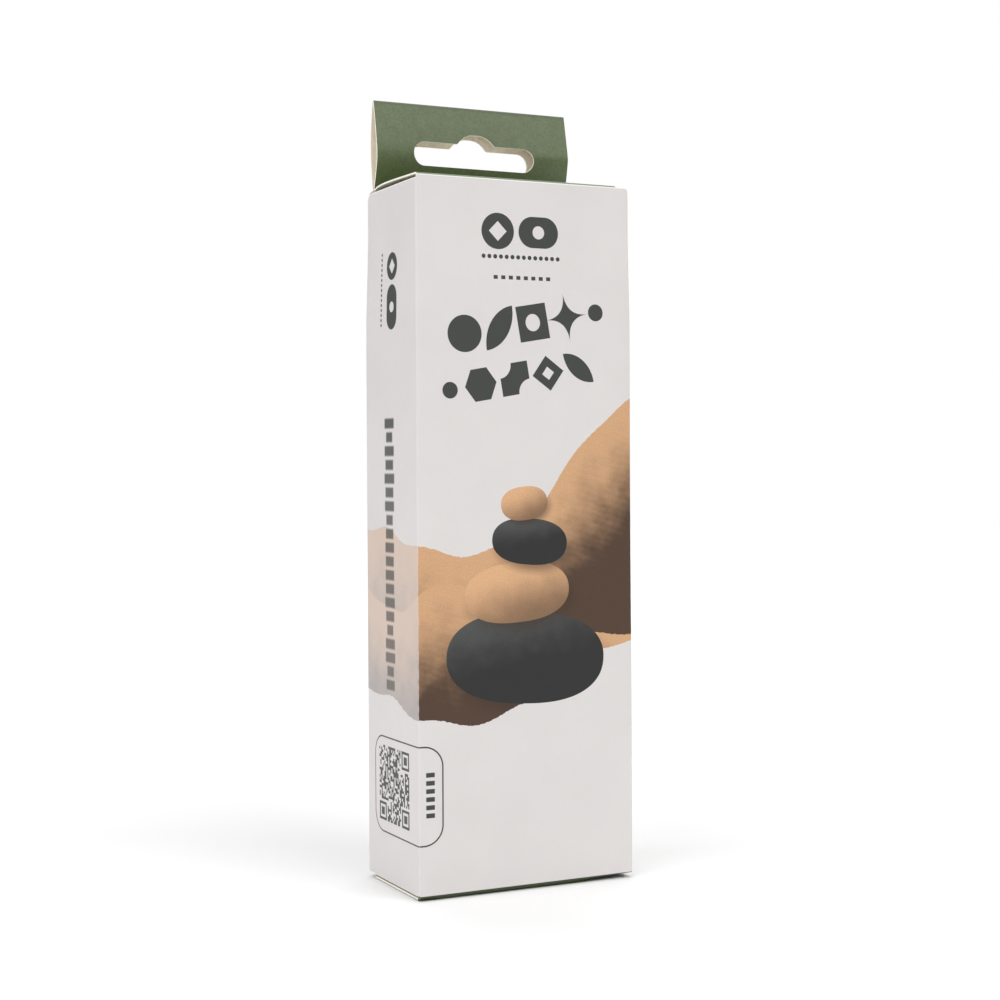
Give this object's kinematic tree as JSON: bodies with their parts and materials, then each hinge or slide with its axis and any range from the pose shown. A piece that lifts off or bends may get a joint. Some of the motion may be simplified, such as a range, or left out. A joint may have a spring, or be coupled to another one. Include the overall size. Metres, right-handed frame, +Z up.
{
  "type": "hanging retail carton",
  "caption": "Upright folding carton of printed paperboard with tucked lids, dust flaps and a double hang tab with a hook slot.",
  "frame": {"origin": "middle of the base, on the surface that the carton stands on", "axes": "+Z up, -Y out of the front wall, +X to the right as seen from the front"},
  "size_m": [0.0606, 0.0348, 0.201],
  "materials": {
    "printed_board": "satin",
    "green_board": "satin",
    "raw_board": "matte"
  },
  "bodies": {
    "walls": {"front_panel": "printed_board", "back_panel": "printed_board", "left_side_panel": "printed_board", "right_side_panel": "printed_board", "glue_flap": "raw_board", "hang_tab_back_layer": "green_board", "hang_tab_front_layer": "green_board"},
    "top_lid": {"top_lid": "green_board"},
    "top_tuck": {"top_tuck_flap": "green_board"},
    "bottom_lid": {"bottom_lid": "green_board"},
    "bottom_tuck": {"bottom_tuck_flap": "green_board"},
    "top_left_dust": {"top_left_dust_flap": "raw_board"},
    "top_right_dust": {"top_right_dust_flap": "raw_board"},
    "bottom_left_dust": {"bottom_left_dust_flap": "raw_board"},
    "bottom_right_dust": {"bottom_right_dust_flap": "raw_board"}
  },
  "joints": [
    {"name": "top_lid_crease", "type": "hinge", "parent": "walls", "child": "top_lid", "pos_m": [0, 0.015, 0.17825], "axis": [-1, 0, 0], "range_deg": [0, 65]},
    {"name": "top_tuck_crease", "type": "hinge", "parent": "top_lid", "child": "top_tuck", "pos_m": [0, -0.0151, 0.1775], "axis": [1, 0, 0], "range_deg": [0, 43]},
    {"name": "bottom_lid_crease", "type": "hinge", "parent": "walls", "child": "bottom_lid", "pos_m": [0, -0.01575, 0.00035], "axis": [-1, 0, 0], "range_deg": [0, 90]},
    {"name": "bottom_tuck_crease", "type": "hinge", "parent": "bottom_lid", "child": "bottom_tuck", "pos_m": [0, 0.0151, 0.0011], "axis": [1, 0, 0], "range_deg": [0, 59]},
    {"name": "top_left_dust_crease", "type": "hinge", "parent": "walls", "child": "top_left_dust", "pos_m": [-0.02925, 0, 0.17605], "axis": [0, 1, 0], "range_deg": [0, 80]},
    {"name": "top_right_dust_crease", "type": "hinge", "parent": "walls", "child": "top_right_dust", "pos_m": [0.02925, 0, 0.17605], "axis": [0, -1, 0], "range_deg": [0, 80]},
    {"name": "bottom_left_dust_crease", "type": "hinge", "parent": "walls", "child": "bottom_left_dust", "pos_m": [-0.02925, 0, 0.00185], "axis": [0, -1, 0], "range_deg": [0, 80]},
    {"name": "bottom_right_dust_crease", "type": "hinge", "parent": "walls", "child": "bottom_right_dust", "pos_m": [0.02925, 0, 0.00185], "axis": [0, 1, 0], "range_deg": [0, 80]}
  ],
  "couplings": [
    {"joint": "top_tuck_crease", "follows": "top_lid_crease", "ratio": 0.65},
    {"joint": "bottom_tuck_crease", "follows": "bottom_lid_crease", "ratio": 0.65}
  ]
}
